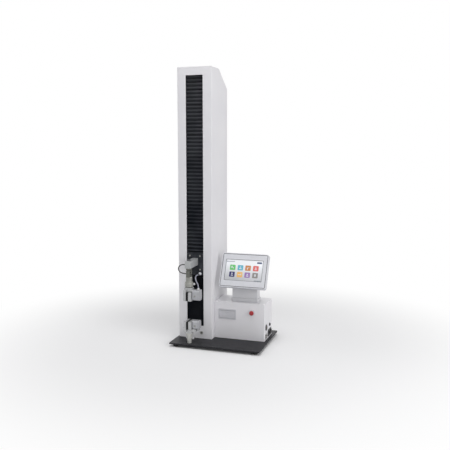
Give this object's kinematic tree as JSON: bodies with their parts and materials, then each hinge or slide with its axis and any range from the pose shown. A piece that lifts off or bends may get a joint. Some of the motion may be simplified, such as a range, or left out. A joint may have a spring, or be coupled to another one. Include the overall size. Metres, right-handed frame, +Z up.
{
  "type": "universal testing machine",
  "caption": "Single-column universal testing machine: a crosshead with load cell and air grip runs in a bellows-covered slot over a fixed grip, beside a control box with a tilted touch screen.",
  "frame": {"origin": "on the bench surface under the middle of the base plate, where the rubber feet stand", "axes": "+X to the right seen from the front, +Y from the front to the back, +Z up along the column"},
  "size_m": [0.45, 0.3608, 1.329],
  "materials": {
    "casing_paint": "off-white powder coat, fine satin texture",
    "plate_paint": "charcoal powder coat, fine texture",
    "soft_rubber": "matt black rubber",
    "bellows_skin": "black coated cloth, pleated, matt",
    "black_anodised": "black anodised, satin",
    "machined_aluminium": "clear anodised, fine blasted satin",
    "ground_steel": "ground and turned, satin",
    "cell_steel": "nickel plated, olive-grey satin",
    "display_plastic": "moulded light silver grey, fine texture",
    "screen_glass": "touch screen, semi gloss",
    "printer_plastic": "moulded mid grey",
    "black_plastic": "moulded black",
    "red_plastic": "moulded red, semi gloss",
    "tube_plastic": "clear-white air tube",
    "cable_rubber": "dark grey sheath",
    "paper": "white paper",
    "board_plastic": "green circuit board",
    "motor_paint": "black paint"
  },
  "bodies": {
    "root": {"backbone": "machined_aluminium", "base_plate": "plate_paint", "button_collar": "ground_steel", "column_back_cover": "casing_paint", "column_casing": "casing_paint", "control_board": "board_plastic", "control_box_cover": "casing_paint", "control_box_rear_panel": "casing_paint", "cover_screws": "ground_steel", "display_screen": "screen_glass", "drive_motor": "motor_paint", "feet": "soft_rubber", "linear_rails": "ground_steel", "lower_air_fittings": "ground_steel", "lower_bellows": "bellows_skin", "lower_cylinder": "machined_aluminium", "lower_fixed_pad": "soft_rubber", "lower_grip_body": "machined_aluminium", "lower_pin": "ground_steel", "lower_post": "ground_steel", "lower_screw_bearing": "ground_steel", "monitor_front_panel": "display_plastic", "monitor_rear_housing": "display_plastic", "motor_bracket": "ground_steel", "neck": "casing_paint", "paper_roll": "paper", "power_inlet": "black_plastic", "power_supply": "motor_paint", "printer_frame": "printer_plastic", "side_ports": "black_plastic", "timing_belt": "cable_rubber", "upper_bellows": "bellows_skin", "upper_screw_bearing": "ground_steel"},
    "crosshead": {"crosshead_saddle": "machined_aluminium", "guide_blocks": "ground_steel", "ball_nut": "ground_steel", "crosshead_plate": "black_anodised", "crosshead_screws": "ground_steel", "crosshead_arm": "machined_aluminium", "load_cell": "cell_steel", "load_cell_coupling": "ground_steel", "coupling_collar": "ground_steel", "upper_pin": "ground_steel", "upper_grip_body": "machined_aluminium", "upper_fixed_pad": "soft_rubber", "upper_cylinder": "machined_aluminium", "upper_air_fittings": "ground_steel", "upper_air_tube": "tube_plastic", "load_cell_cable": "cable_rubber", "cable_glands": "cable_rubber"},
    "upper_jaw": {"upper_moving_jaw": "machined_aluminium", "upper_moving_pad": "soft_rubber"},
    "lower_jaw": {"lower_moving_jaw": "machined_aluminium", "lower_moving_pad": "soft_rubber"},
    "screw": {"ball_screw": "ground_steel", "screw_pulley": "ground_steel"},
    "motor_shaft": {"motor_pulley": "ground_steel"},
    "button": {"stop_button": "red_plastic"},
    "rocker": {"power_rocker": "black_plastic"},
    "paper_door": {"printer_door": "printer_plastic"}
  },
  "joints": [
    {"name": "crosshead_slide", "type": "slide", "parent": "root", "child": "crosshead", "axis": [0, 0, 1], "range_m": [-0.085, 0.7], "deforming": ["upper_bellows", "lower_bellows"]},
    {"name": "screw_turn", "type": "hinge", "parent": "root", "child": "screw", "pos_m": [-0.1312, 0.03998, 0.6], "axis": [0, 0, 1], "range_deg": [-25290, 3150]},
    {"name": "motor_turn", "type": "hinge", "parent": "root", "child": "motor_shaft", "pos_m": [-0.1312, 0.12988, 0.06], "axis": [0, 0, 1], "range_deg": [-50490, 6210]},
    {"name": "upper_jaw_slide", "type": "slide", "parent": "crosshead", "child": "upper_jaw", "axis": [-1, 0, 0], "range_m": [0, 0.0048], "stiffness_N_per_m": 500, "springref_m": -0.004},
    {"name": "lower_jaw_slide", "type": "slide", "parent": "root", "child": "lower_jaw", "axis": [-1, 0, 0], "range_m": [0, 0.0048], "stiffness_N_per_m": 500, "springref_m": -0.004},
    {"name": "stop_button_press", "type": "slide", "parent": "root", "child": "button", "axis": [0, 1, 0], "range_m": [0, 0.004], "stiffness_N_per_m": 600, "springref_m": -0.001},
    {"name": "power_rocker_tip", "type": "hinge", "parent": "root", "child": "rocker", "pos_m": [0.2075, 0.09, 0.0436], "axis": [0, -1, 0], "range_deg": [0, 16]},
    {"name": "printer_door_open", "type": "hinge", "parent": "root", "child": "paper_door", "pos_m": [0.0199, -0.0248, 0.1245], "axis": [1, 0, 0], "range_deg": [0, 85]}
  ],
  "couplings": [
    {"joint": "screw_turn", "follows": "crosshead_slide", "rad_per_m": -628.32},
    {"joint": "motor_turn", "follows": "crosshead_slide", "rad_per_m": -1256.6}
  ]
}
